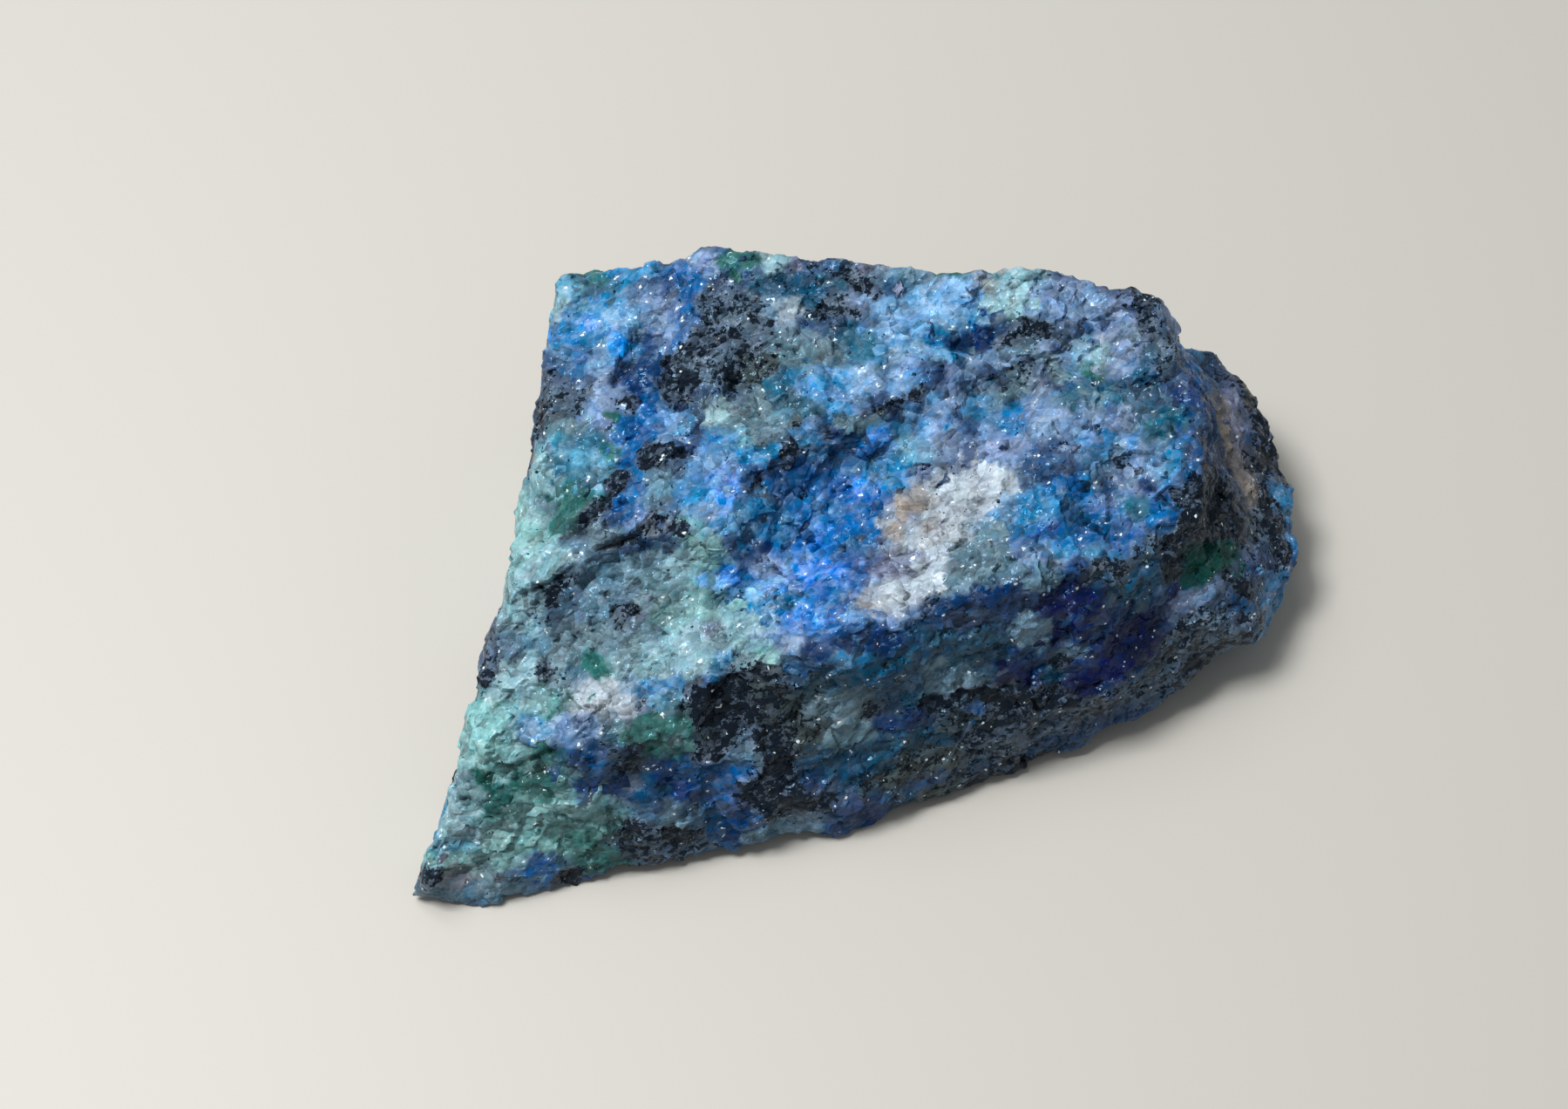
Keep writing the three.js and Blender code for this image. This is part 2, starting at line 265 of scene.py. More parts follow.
        (1230, 408, 18, 10, 0), (532, 950, 14, 10, 0),
        (1126, 602, 18, 12, 0), (1236, 396, 16, 12, 0), (672, 706, 18, 12, 0), (1176, 655, 18, 10, 0),
        (892, 352, 22, 12, 0), (1030, 313, 28, 8, 0), (756, 567, 20, 12, 80), (1083, 778, 34, 18, 5),
        (776, 930, 18, 12, 0), (1182, 730, 20, 14, 80), (560, 1015, 44, 14, 0), (515, 1018, 40, 10, 0),
        (690, 660, 34, 16, 0), (1200, 662, 24, 10, 15), (1150, 402, 28, 8, 20),
        (1225, 745, 16, 10, 0), (870, 956, 20, 5, 10), (860, 860, 24, 11, 0), (620, 735, 20, 14, 0),
    ],
    "slate quartz": [
        (1226, 655, 18, 8, 0), (1272, 558, 18, 12, 0), (845, 622, 16, 12, 0), (1215, 535, 32, 14, 0),
        (1250, 380, 30, 6, 0), (1384, 485, 34, 12, -85), (680, 868, 28, 14, 0),
        (715, 601, 18, 10, 0), (1100, 705, 46, 14, 8), (1275, 826, 28, 10, 20), (1206, 853, 28, 7, 12),
        (823, 970, 22, 5, 8), (1065, 428, 24, 10, 25), (930, 765, 30, 10, 5), (1260, 722, 14, 12, 0),
        (1445, 640, 22, 12, 60), (1150, 705, 12, 20, 0),
    ],
    "dark teal": [
        (1005, 768, 28, 14, 0),
        (905, 334, 28, 16, 0), (1311, 424, 15, 16, 0), (838, 682, 12, 11, 0), (955, 785, 44, 20, 0),
        (965, 880, 40, 20, 0), (1300, 662, 40, 14, 10), (1040, 780, 24, 30, 0), (1090, 735, 40, 12, 5),
        (1130, 750, 34, 14, 0), (1290, 690, 20, 12, 0), (800, 945, 22, 16, 0), (1055, 845, 50, 12, 5),
        (740, 905, 14, 14, 0), (1205, 770, 20, 14, 0),
    ],
    "speckled mica": [
        (562, 1008, 26, 9, 0),
        (975, 352, 20, 10, 0), (774, 456, 14, 12, 0), (1275, 655, 24, 12, 0), (775, 455, 14, 14, 0),
        (842, 370, 40, 26, 0), (825, 415, 28, 20, 0), (645, 457, 20, 16, 0), (1328, 385, 28, 8, -70),
        (562, 725, 28, 13, 70), (724, 712, 26, 12, -10), (755, 970, 46, 18, 5), (850, 769, 30, 5, 8),
        (1365, 735, 36, 20, 30), (1225, 822, 34, 11, 8), (1300, 795, 44, 14, 18), (1150, 850, 40, 14, 8),
        (1277, 545, 18, 4, 85), (1165, 385, 38, 13, 25), (1145, 438, 28, 7, 25),
        (1440, 600, 36, 12, 85), (1320, 620, 20, 10, 40),
    ],
    "olive mica": [
        (1070, 870, 40, 12, 8),
        (862, 420, 20, 18, 0), (928, 477, 22, 7, 30), (866, 790, 22, 10, 15), (900, 820, 18, 20, 0),
        (930, 842, 18, 14, 0), (1015, 895, 18, 8, 10), (1115, 825, 30, 8, 8),
    ],
    "black mica": [
        (776, 456, 12, 10, 0), (1126, 806, 24, 8, 5), (1176, 802, 20, 8, 5), (1278, 656, 14, 7, 5),
        (1376, 760, 14, 7, 25), (500, 1014, 14, 6, 0),
        (1222, 758, 14, 8, 0), (776, 955, 20, 10, 0), (486, 1006, 15, 9, 0), (1276, 660, 18, 7, 5),
        (1275, 650, 20, 7, 5), (775, 962, 22, 9, 0), (484, 1001, 13, 9, 0), (822, 858, 16, 9, 0),
        (875, 855, 16, 12, 0), (1175, 806, 26, 8, 0), (1222, 806, 22, 8, 10), (722, 950, 16, 8, 0),
        (850, 414, 9, 9, 0), (786, 428, 26, 10, 85), (762, 436, 16, 16, 0), (622, 474, 26, 6, 90),
        (720, 463, 20, 6, 10), (752, 522, 20, 9, 0), (706, 550, 16, 8, 30), (681, 575, 15, 7, 45),
        (667, 599, 14, 5, 25), (760, 598, 16, 7, 0), (973, 319, 26, 6, -20), (955, 358, 18, 9, 0),
        # The narrow patches at 870, 556 and 907, 520 are painted shadow along the edge of the long ledge
        (870, 556, 14, 5, 50), (907, 520, 18, 5, 45), (1182, 374, 20, 8, -20), (1310, 336, 32, 9, -20),
        (1380, 585, 26, 34, 0), (1370, 602, 20, 16, 0), (1396, 574, 18, 16, 0),
        (1412, 606, 16, 12, 0), (1440, 465, 32, 11, -80), (1456, 600, 38, 12, -80),
        (1425, 667, 20, 9, -30), (645, 672, 28, 5, 35), (625, 698, 8, 10, 0), (628, 772, 11, 11, 0),
        (555, 775, 18, 14, 60), (835, 806, 56, 26, 5), (800, 800, 30, 14, 20), (720, 882, 15, 14, 0),
        (908, 918, 46, 22, -30), (890, 878, 16, 26, 0), (490, 1003, 15, 11, 0), (648, 1006, 14, 8, 0),
        (518, 900, 28, 8, 70), (1095, 803, 48, 6, 5), (1140, 835, 36, 12, 8), (1345, 632, 12, 26, 0),
        # The narrow patch at 1040, 460 is painted shadow along the edge of the long ledge
        (1040, 460, 18, 3, 27), (735, 975, 22, 11, 0), (790, 955, 20, 10, 0), (1160, 790, 30, 8, 5),
        (1000, 820, 16, 8, 0),
    ],
    "dusty quartz": [
        (532, 1003, 16, 9, 0), (512, 1012, 26, 9, 0), (560, 1010, 20, 8, 0), (1410, 482, 16, 7, -75),
        (1425, 535, 22, 9, -65),
    ],
    "iron stain": [
        (1034, 594, 22, 8, 80), (1054, 574, 15, 8, 10), (1062, 608, 11, 7, 70), (996, 692, 11, 8, 0),
        (1134, 323, 10, 7, 0), (1406, 494, 24, 8, -75), (1436, 565, 26, 8, -62),
    ],
}
PIXELS_PER_MM = 12.5

# Ledges where a layer breaks off, as points in the same frame with the low side on the right hand of
# the way from the first to the last, and the drop in millimetres
LEDGES = [
    (0.4, [(826, 603), (850, 586), (868, 560), (885, 541), (905, 522), (920, 505), (937, 497), (962, 488),
           (987, 480), (1010, 469), (1036, 457), (1056, 441), (1078, 424), (1102, 409)]),
    (0.6, [(1085, 403), (1105, 393), (1125, 384), (1150, 372), (1170, 358)]),
    (0.8, [(703, 445), (712, 425), (724, 400), (728, 380), (742, 362)]),
    (0.7, [(636, 612), (655, 603), (680, 590), (700, 565), (718, 545), (735, 538)]),
    (0.8, [(668, 632), (690, 630), (712, 626), (730, 615), (745, 600), (768, 592)]),
    (0.7, [(578, 690), (600, 682), (628, 672), (650, 658), (672, 640)]),
    (0.5, [(770, 588), (765, 562), (757, 545)]),
    (0.6, [(945, 734), (975, 730), (1000, 723), (1015, 728), (1040, 724), (1055, 708), (1072, 692),
           (1090, 676)]),
    (0.5, [(548, 871), (584, 882), (620, 871), (650, 853)]),
    (0.4, [(1053, 806), (1080, 802), (1110, 797), (1140, 792)]),
    (0.7, [(1408, 447), (1395, 430), (1375, 412), (1355, 398)]),
    (0.5, [(1130, 445), (1160, 425), (1195, 410), (1230, 405)]),
]
# In millimetres, how sharp a ledge's edge is and how far its foot reaches. Then how fast it fades at its
# ends
LEDGE_EDGE, LEDGE_FOOT = 0.4, 1.2
LEDGE_TAPER = 5

# How sharply one patch gives way to the next, how much of a grain's colour is its own rather than its
# place's, how deep a patch goes, and what lies where no patch reaches
BLEND = 2.5
GRAIN_SHARE = 0.7
DEPTH_BY_WIDTH = 2
LEAST_DEPTH = 1.5
GROUND = "slate quartz"
GROUND_WEIGHT = 0.0008

# Sides without given patches have drawn ones. Near the given ones they take up the minerals of those,
# and further off the minerals of a zone
DRAWN_SPACING = 4.0
COMPANY_REACH = 9.0
COMPANY = 5
DRAWN_LENGTHS = (1.6, 3.6)
DRAWN_SLIMNESS = (0.4, 0.8)
DRAWN_TURN = (20, 20)
STAINS = ("iron stain", "dusty quartz", "ultramarine")
MIDDLE_ZONE = 0.5
ZONES = (
    ("mint malachite", "pale mint", "green malachite", "grey quartz", "teal", "white quartz"),
    ("azure", "royal azurite", "sky blue", "turquoise", "grey quartz", "navy azurite", "lavender quartz"),
    ("royal azurite", "azure", "white quartz", "lavender quartz", "slate quartz", "pink quartz"),
    ("black mica", "speckled mica", "dark teal", "navy azurite", "olive mica", "grey quartz"),
)


def linear(rgb):
    """A colour of 0 to 255 as the linear values that shaders work with."""
    srgb = np.array(rgb, float) / 255
    return np.where(srgb <= 0.04045, srgb / 12.92, ((srgb + 0.055) / 1.055) ** 2.4)


COLOURS = {name: linear(rgb) for name, rgb in MINERALS.items()}


def mica_of(mineral):
    return MICA.get(mineral, PLAIN_MICA)


# ---------------------------------------------------------------------------------------------
# The stone's skin


def soften(skin, rounds, strength):
    for _ in range(rounds):
        bmesh.ops.smooth_vert(
            skin, verts=skin.verts, factor=strength,
            use_axis_x=True, use_axis_y=True, use_axis_z=True,
        )


def fine_skin(node):
    """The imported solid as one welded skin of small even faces."""
    coarse = bmesh.new()
    coarse.from_mesh(node.data)
    bmesh.ops.remove_doubles(coarse, verts=coarse.verts, dist=WELD_REACH * MM)
    mesh = bpy.data.meshes.new("coarse skin")
    coarse.to_mesh(mesh)
    coarse.free()
    helper = bpy.data.objects.new("coarse skin", mesh)
    bpy.context.scene.collection.objects.link(helper)
    remesh = helper.modifiers.new("even faces", "REMESH")
    remesh.mode = "VOXEL"
    remesh.voxel_size = FACE_SIZE * MM
    fine = helper.evaluated_get(bpy.context.evaluated_depsgraph_get()).to_mesh()
    skin = bmesh.new()
    skin.from_mesh(fine)
    bpy.data.objects.remove(helper)
    bpy.data.meshes.remove(mesh)
    soften(skin, SOFTENING_ROUNDS, SOFTENING)
    bmesh.ops.triangulate(skin, faces=skin.faces)
    skin.normal_update()
    skin.verts.ensure_lookup_table()
    return skin


def wander(point, size, height, seed):
    """A smooth random number about zero at a point in millimetres."""
    return height * noise.noise(point / size + Vector((seed, -seed, 2 * seed)))


def spread_seeds(points, spacing, draw):
    """Random points of the skin that keep the spacing, found with a grid of cells."""
    cells = {}
    seeds = []
    order = list(range(len(points)))
    draw.shuffle(order)
    for i in order:
        point = points[i]
        cell = tuple(math.floor(c / spacing) for c in point)
        near = (
            other
            for dx in (-1, 0, 1) for dy in (-1, 0, 1) for dz in (-1, 0, 1)
            for other in cells.get((cell[0] + dx, cell[1] + dy, cell[2] + dz), ())
        )
        if all((points[other] - point).length > spacing for other in near):
            cells.setdefault(cell, []).append(i)
            seeds.append(i)
    return seeds


class Facets:
    """Cells of the skin, each a small plane with a tilt and a rise of its own."""

    def __init__(self, points, normals, spacing, tilt, rise, draw):
        seeds = spread_seeds(points, SEED_CLOSENESS * spacing, draw)
        self.centres = [points[i] for i in seeds]
        self.spread = [GRAIN_SIZE_SPREAD * spacing * draw.random() for _ in seeds]
        self.rises = [rise * draw.uniform(-1, 1) for _ in seeds]
        self.tilts = []
        for i in seeds:
            lean = Vector([draw.gauss(0, 1) for _ in range(3)])
            lean -= lean.dot(normals[i]) * normals[i]
            self.tilts.append(lean.normalized() * tilt * math.sqrt(draw.random()))
        self.tree = kdtree.KDTree(len(seeds))
        for cell, centre in enumerate(self.centres):
            self.tree.insert(centre, cell)
        self.tree.balance()

    def cell_at(self, point):
        near = self.tree.find_n(point, RIVAL_CELLS)
        return min(near, key=lambda found: found[2] - self.spread[found[1]])[1]

    def height_at(self, point, cell):
        height = self.rises[cell] + self.tilts[cell].dot(point - self.centres[cell])
        return max(-FACET_REACH, min(FACET_REACH, height))


def step_height(point):
    """A low sawtooth across the bedding, whose steps come and go."""
    depth = point.dot(BEDDING) + wander(point, *STEP_WANDER)
    saw = depth / STEP_SPACING % 1 - 0.5
    strength = max(0, STEP_STRENGTH + wander(point, *STEP_FADE))
    return STEP_HEIGHT * saw * strength


def ledge_drops(points, tree):
    """How far each point drops below a ledge: sharply at its edge, and less away from its foot."""
    across, up, _ = (np.array(axis) for axis in VIEW_AXES)
    points = np.array(points)
    drops = np.zeros(len(points))
    for drop, pixels in LEDGES:
        path = [np.array(seen_at(tree, pixel)) for pixel in pixels]
        nearest = np.full(len(points), np.inf)
        profile = np.zeros(len(points))
        for i, (start, end) in enumerate(zip(path, path[1:])):
            run = end - start
            from_start = points - start
            along = np.clip(from_start @ run / (run @ run), 0, 1)
            distance = np.linalg.norm(from_start - along[:, None] * run, axis=1)
            below = (run @ across) * (from_start @ up) < (run @ up) * (from_start @ across)
            foot = np.exp(-distance / LEDGE_FOOT)
            edge = np.exp(-((distance / LEDGE_EDGE) ** 2))
            fall = np.where(below, foot, edge)
            place = (i + along) / (len(path) - 1)
            taper = np.minimum(1, LEDGE_TAPER * np.minimum(place, 1 - place))
            closer = distance < nearest
            nearest[closer] = distance[closer]
            profile[closer] = (fall * taper)[closer]
        drops = np.maximum(drops, drop * profile)
    return drops


def break_skin(skin, points, normals, chips, grains, drops):
    """Moves each point of the skin as the rock breaks. Gives how far each moves, and its grain."""
    heights = []
    cells = []
    for vert, point, normal, drop in zip(skin.verts, points, normals, drops):
        cell = grains.cell_at(point)
        height = chips.height_at(point, chips.cell_at(point)) + grains.height_at(point, cell)
        height += step_height(point) - drop
        cells.append(cell)
        heights.append(height)
        vert.co += normal * height * MM
    soften(skin, 1, WEAR)
    for vert in skin.verts:
        vert.co.z = max(vert.co.z, 0)
    return np.array(heights), np.array(cells)


# ---------------------------------------------------------------------------------------------
# Minerals


class Patch:
    """An ellipsoid of one mineral about a point of the skin."""

    def __init__(self, mineral, centre, axes, half_length, half_width, turn):
        across, up, out = axes
        turn = math.radians(turn)
        self.mineral = mineral
        self.centre = Vector(centre)
        self.strength = (half_length * half_width) ** -0.5
        self.axes = np.array([
            (math.cos(turn) * across + math.sin(turn) * up) / half_length,
            (math.cos(turn) * up - math.sin(turn) * across) / half_width,
            out / (DEPTH_BY_WIDTH * half_width + LEAST_DEPTH),
        ])

    def weights(self, points):
        """How strongly the patch colours each point. A small patch stands out from a large one."""
        distances = (points - np.array(self.centre)) @ self.axes.T
        return self.strength * np.exp(-BLEND * (distances ** 2).sum(axis=1))


def seen_at(tree, pixel):
    """The point of the skin at a pixel of the camera's frame, or None beside the stone."""
    across, up, back = VIEW_AXES
    focal = CAMERA_LENS / SENSOR_WIDTH * FRAME_SIZE[0]
    way = (pixel[0] - FRAME_SIZE[0] / 2) * across - (pixel[1] - FRAME_SIZE[1] / 2) * up - focal * back
    return tree.ray_cast((AIM + CAMERA_DISTANCE * back) / MM, way.normalized())[0]


def seen_patches(tree):
    """The patches whose places are given."""
    patches = []
    for mineral, places in PATCHES.items():
        for column, row, half_length, half_width, turn in places:
            centre = seen_at(tree, (column, row))
            if centre is not None:
                sizes = (half_length / PIXELS_PER_MM, half_width / PIXELS_PER_MM)
                patches.append(Patch(mineral, centre, VIEW_AXES, *sizes, turn))
    return patches


def drawn_patches(points, normals, given, draw):
    """Patches drawn at random for the sides that the given ones leave bare."""
    tree = kdtree.KDTree(len(given))
    for i, patch in enumerate(given):
        tree.insert(patch.centre, i)
    tree.balance()
    patches = []
    for i in spread_seeds(points, DRAWN_SPACING, draw):
        if tree.find(points[i])[2] < DRAWN_SPACING:
            continue
        place = MIDDLE_ZONE + wander(points[i], *ZONE_WANDER)
        zone = ZONES[max(0, min(len(ZONES) - 1, int(place * len(ZONES))))]
        if tree.find(points[i])[2] < COMPANY_REACH:
            near = [given[found[1]].mineral for found in tree.find_n(points[i], COMPANY)]
            zone = [mineral for mineral in near if mineral not in STAINS] or zone
        up = normals[i].cross(Vector((1, 0, 0))).normalized()
        axes = (up.cross(normals[i]), up, normals[i])
        half_length = draw.uniform(*DRAWN_LENGTHS)
        half_width = half_length * draw.uniform(*DRAWN_SLIMNESS)
        mineral, turn = draw.choice(zone), draw.gauss(*DRAWN_TURN)
        patches.append(Patch(mineral, points[i], axes, half_length, half_width, turn))
    return patches


def mineral_fields(points, patches, size, reach, seed):
    """Colour and mica at each point, blended from the patches, whose edges wander by the reach."""
    seeds = [seed + AXIS_SEED * axis for axis in range(3)]
    shift = np.array([[wander(point, size, reach, drawn) for drawn in seeds] for point in points])
    moved = np.array(points) + shift
    total = np.full(len(points), GROUND_WEIGHT)
    colour = total[:, None] * COLOURS[GROUND]
    mica = total * mica_of(GROUND)
    for patch in patches:
        weights = patch.weights(moved)
        colour += weights[:, None] * COLOURS[patch.mineral]
        mica += weights * mica_of(patch.mineral)
        total += weights
    return colour / total[:, None], mica / total


def paint_minerals(mesh, points, grains, cells, patches, heights):
    """Gives each point its mineral, another one near it, its share of mica and its height."""
    grain_colour, grain_mica = mineral_fields(grains.centres, patches, *GRAIN_EDGE)
    other_colour, _ = mineral_fields(grains.centres, patches, *STRAY_EDGE)
    smooth_colour, smooth_mica = mineral_fields(points, patches, *SMOOTH_EDGE)
    colour = smooth_colour + GRAIN_SHARE * (grain_colour[cells] - smooth_colour)
    mica = smooth_mica + GRAIN_SHARE * (grain_mica[cells] - smooth_mica)
    for name, values in (("mineral_colour", colour), ("other_colour", other_colour[cells])):
        attribute = mesh.attributes.new(name, "FLOAT_COLOR", "POINT")
        padded = np.ones((len(points), 4), np.float32)
        padded[:, :3] = values
        attribute.data.foreach_set("color", padded.ravel())
    for name, values in (("mica", mica), ("height", heights)):
        attribute = mesh.attributes.new(name, "FLOAT", "POINT")
        attribute.data.foreach_set("value", values.astype(np.float32))


# ---------------------------------------------------------------------------------------------
# Shaders

# Crystals of four sizes in millimetres, how much each shades the rock, and how far its face leans. Then
# how domed the faces are, and how much longer they are along the strike
CRYSTALS = {
    "block": (2.2, 0.10, 0.30),
    "crystal": (1.15, 0.38, 0.66),
    "crumb": (0.6, 0.36, 0.44),
    "spark": (0.24, 0.22, 0.20),
}
DOMING = 0.65
STRIKE_STRETCH = (1.2, 0.95, 0.95)

# The brightness of the darkest crystal, and what a millimetre of height adds to it, as painted shade that
# darkens low places such as hollows and ledge feet and lightens high ones
DARKEST, PAINTED_SHADE_BY_HEIGHT = 0.40, 0.8

# How hue and saturation differ from crystal to crystal about the mineral's own hue, and from which
# random number on a crystal is of the mineral next door
SAME_HUE = 0.5
LOWEST_HUE, HUE_SPREAD = 0.484, 0.013
LEAST_SATURATION, SATURATION_SPREAD = 0.78, 0.2
STRAYS = (0.84, 0.88)

# Pale veils: scale, detail and roughness of their noise, where they start and are full, and how pale
CLOUD = (1.1, 6, 0.5)
VEILS = (0.46, 0.72)
VEIL_STRENGTH, VEIL_SATURATION, VEIL_VALUE = 0.6, 0.72, 1.35

# Flakes of dark mica: scale, detail and roughness of their noise, where they start, and how they look
FLAKES = (1.4, 4, 0.72)
FLAKE_EDGE, EDGE_BY_MICA, FLAKE_SOFTNESS = 0.80, -0.44, 0.03
FLAKE_MIDDLE, FLAKE_BY_CRUMB, FLAKE_BY_SPARK = -0.25, 0.3, 0.2
FLAKE_STRENGTH, FLAKE_COLOUR = 0.97, (0.002, 0.004, 0.009, 1)

# Painted glints, highlights painted into the colour of a few of the finest crystals: where they cluster,
# the share of the finest crystals that get one there, and their look
PAINTED_GLINT_CLUSTERS = (0.58, 0.66)
PAINTED_GLINT_SHARE, PAINTED_GLINT_SOFTNESS = 0.08, 0.01
PAINTED_GLINT_STRENGTH, PAINTED_GLINT_COLOUR = 0.8, (0.72, 0.84, 0.88, 1)

# Glassy faces among dull ones: from which random number on a face is glassy, and how rough faces are
GLASSY = (0.56, 0.60)
DULL, GLASSINESS, ROUGHNESS_SPREAD = 0.36, -0.24, 0.12

# How the rock takes light: grains of quartz that let a little in
LIGHT = {
    "IOR": 1.54,
    "Specular IOR Level": 0.26,
    "Specular Tint": (0.42, 0.68, 0.94, 1),
    "Subsurface Weight": 0.1,
    "Subsurface Radius": (0.5, 0.8, 1.0),
    "Subsurface Scale": 0.8 * MM,
}

# The middle of a random colour, and the sockets of Blender's mix node that take colours
GREY = (0.5, 0.5, 0.5)
MIX_SHARE, MIX_FIRST, MIX_SECOND, MIX_RESULT = 0, 6, 7, 2


def feed(tree, value, socket):
    """Sets a socket to a number, vector or colour, or links another socket to it."""
    if isinstance(value, (int, float, tuple)):
        socket.default_value = value
    else:
        tree.links.new(value, socket)


def math_node(tree, operation, *values):
    node = tree.nodes.new("ShaderNodeMath")
    node.operation = operation
    for value, socket in zip(values, node.inputs):
        feed(tree, value, socket)
    return node.outputs[0]


def vector_node(tree, operation, first, second=(0, 0, 0), scale=None):
    node = tree.nodes.new("ShaderNodeVectorMath")
    node.operation = operation
    feed(tree, first, node.inputs[0])
    feed(tree, second, node.inputs[1])
    if scale is not None:
        feed(tree, scale, node.inputs["Scale"])
    return node.outputs["Vector"]


def scaled_sum(tree, start, *terms):
    """The start value plus each (value, factor) of the terms."""
    total = start
    for value, factor in terms:
        total = math_node(tree, "MULTIPLY_ADD", value, factor, total)
    return total


def ramp_between(tree, value, low, high):
    """0 below low, 1 above high, and smooth between them."""
    node = tree.nodes.new("ShaderNodeMapRange")
    node.interpolation_type = "SMOOTHSTEP"
    for name, source in (("Value", value), ("From Min", low), ("From Max", high)):
        feed(tree, source, node.inputs[name])
    return node.outputs["Result"]


def mix_colour(tree, share, first, second):
    node = tree.nodes.new("ShaderNodeMix")
    node.data_type = "RGBA"
    for index, value in ((MIX_SHARE, share), (MIX_FIRST, first), (MIX_SECOND, second)):
        feed(tree, value, node.inputs[index])
    return node.outputs[MIX_RESULT]


def tune_colour(tree, colour, hue, saturation, value):
    """The colour with its hue turned, and its saturation and value multiplied."""
    node = tree.nodes.new("ShaderNodeHueSaturation")
    sockets = {"Color": colour, "Hue": hue, "Saturation": saturation, "Value": value}
    for name, amount in sockets.items():
        feed(tree, amount, node.inputs[name])
    return node.outputs["Color"]


def noise_node(tree, place, scale, detail, roughness):
    node = tree.nodes.new("ShaderNodeTexNoise")
    sockets = {"Vector": place, "Scale": scale, "Detail": detail, "Roughness": roughness}
    for name, value in sockets.items():
        feed(tree, value, node.inputs[name])
    return node.outputs["Fac"]


def painted(tree, name, output):
    """An attribute that paint_minerals gave the points."""
    node = tree.nodes.new("ShaderNodeAttribute")
    node.attribute_name = name
    return node.outputs[output]


def strike_place(tree):
    """The place in millimetres along and across the strike, drawn out along it."""
    coordinates = tree.nodes.new("ShaderNodeTexCoord")
    strike = tree.nodes.new("ShaderNodeMapping")
    strike.vector_type = "TEXTURE"
    strike.inputs["Rotation"].default_value = (0, 0, STRIKE_TURN)
    strike.inputs["Scale"].default_value = STRIKE_STRETCH
    place = vector_node(tree, "SCALE", coordinates.outputs["Object"], scale=1 / MM)
    feed(tree, place, strike.inputs["Vector"])
    return strike.outputs["Vector"]


def grain_group():
    """Crystals of one size: a shade, hue and glint for each, and the lean of its slightly domed face."""
    group = bpy.data.node_groups.new("crystal grains", "ShaderNodeTree")
    for name, kind in (("Place", "Vector"), ("Size", "Float")):
        group.interface.new_socket(name, in_out="INPUT", socket_type="NodeSocket" + kind)
    for name, kind in (("Shade", "Float"), ("Hue", "Float"), ("Glint", "Float"), ("Lean", "Vector")):
        group.interface.new_socket(name, in_out="OUTPUT", socket_type="NodeSocket" + kind)
    start = group.nodes.new("NodeGroupInput").outputs
    end = group.nodes.new("NodeGroupOutput").inputs
    density = math_node(group, "DIVIDE", 1.0, start["Size"])
    cells = group.nodes.new("ShaderNodeTexVoronoi")
    feed(group, start["Place"], cells.inputs["Vector"])
    feed(group, density, cells.inputs["Scale"])
    parts = group.nodes.new("ShaderNodeSeparateColor")
    feed(group, cells.outputs["Color"], parts.inputs["Color"])
    for part, name in zip(parts.outputs, ("Shade", "Hue", "Glint")):
        feed(group, part, end[name])
    shuffled = group.nodes.new("ShaderNodeTexWhiteNoise")
    feed(group, cells.outputs["Color"], shuffled.inputs["Vector"])
    lean = vector_node(group, "SUBTRACT", shuffled.outputs["Color"], GREY)
    from_centre = vector_node(group, "SUBTRACT", start["Place"], cells.outputs["Position"])
    dome = vector_node(group, "SCALE", from_centre, scale=math_node(group, "MULTIPLY", density, DOMING))
    feed(group, vector_node(group, "ADD", lean, dome), end["Lean"])
    return group


def grow_crystals(tree, place):
    """The outputs of the grain group for each size of crystal."""
    group = grain_group()
    sizes = {}
    for name, (size, _, _) in CRYSTALS.items():
        node = tree.nodes.new("ShaderNodeGroup")
        node.node_tree = group
        node.inputs["Size"].default_value = size
        feed(tree, place, node.inputs["Place"])
        sizes[name] = node.outputs
    return sizes


def vary_crystals(tree, sizes):
    """Each crystal has its own shade and hue, and some are of the mineral next door. Height adds painted
    shade.
    """
    own, other = painted(tree, "mineral_colour", "Color"), painted(tree, "other_colour", "Color")
    height = painted(tree, "height", "Fac")
    base = mix_colour(tree, ramp_between(tree, sizes["crystal"]["Hue"], *STRAYS), own, other)
    shades = [(sizes[name]["Shade"], shade) for name, (_, shade, _) in CRYSTALS.items()]
    # Painted shade: lower places darker and higher ones lighter by their height
    value = scaled_sum(tree, DARKEST, *shades, (height, PAINTED_SHADE_BY_HEIGHT))
    hues = (sizes["block"]["Hue"], sizes["crystal"]["Glint"])
    hue = scaled_sum(tree, LOWEST_HUE, *((part, HUE_SPREAD) for part in hues))
    depths = (sizes["block"]["Glint"], sizes["crumb"]["Hue"])
    saturation = scaled_sum(tree, LEAST_SATURATION, *((part, SATURATION_SPREAD) for part in depths))
    return tune_colour(tree, base, hue, saturation, value)


def add_veils(tree, colour, cloud):
    """Pale rock where the cloud of noise is thick."""
    pale = tune_colour(tree, colour, SAME_HUE, VEIL_SATURATION, VEIL_VALUE)
    share = math_node(tree, "MULTIPLY", ramp_between(tree, cloud, *VEILS), VEIL_STRENGTH)
    return mix_colour(tree, share, colour, pale)


def add_flakes(tree, colour, place, sizes):
    """Whole small crystals turned dark, where they lie in the thick of the noise."""
    darkness = scaled_sum(
        tree, FLAKE_MIDDLE, (noise_node(tree, place, *FLAKES), 1.0),
        (sizes["crumb"]["Shade"], FLAKE_BY_CRUMB), (sizes["spark"]["Shade"], FLAKE_BY_SPARK),
    )
    edge = scaled_sum(tree, FLAKE_EDGE, (painted(tree, "mica", "Fac"), EDGE_BY_MICA))
    full = math_node(tree, "ADD", edge, FLAKE_SOFTNESS)
    flakes = ramp_between(tree, darkness, edge, full)
    return mix_colour(tree, math_node(tree, "MULTIPLY", flakes, FLAKE_STRENGTH), colour, FLAKE_COLOUR)


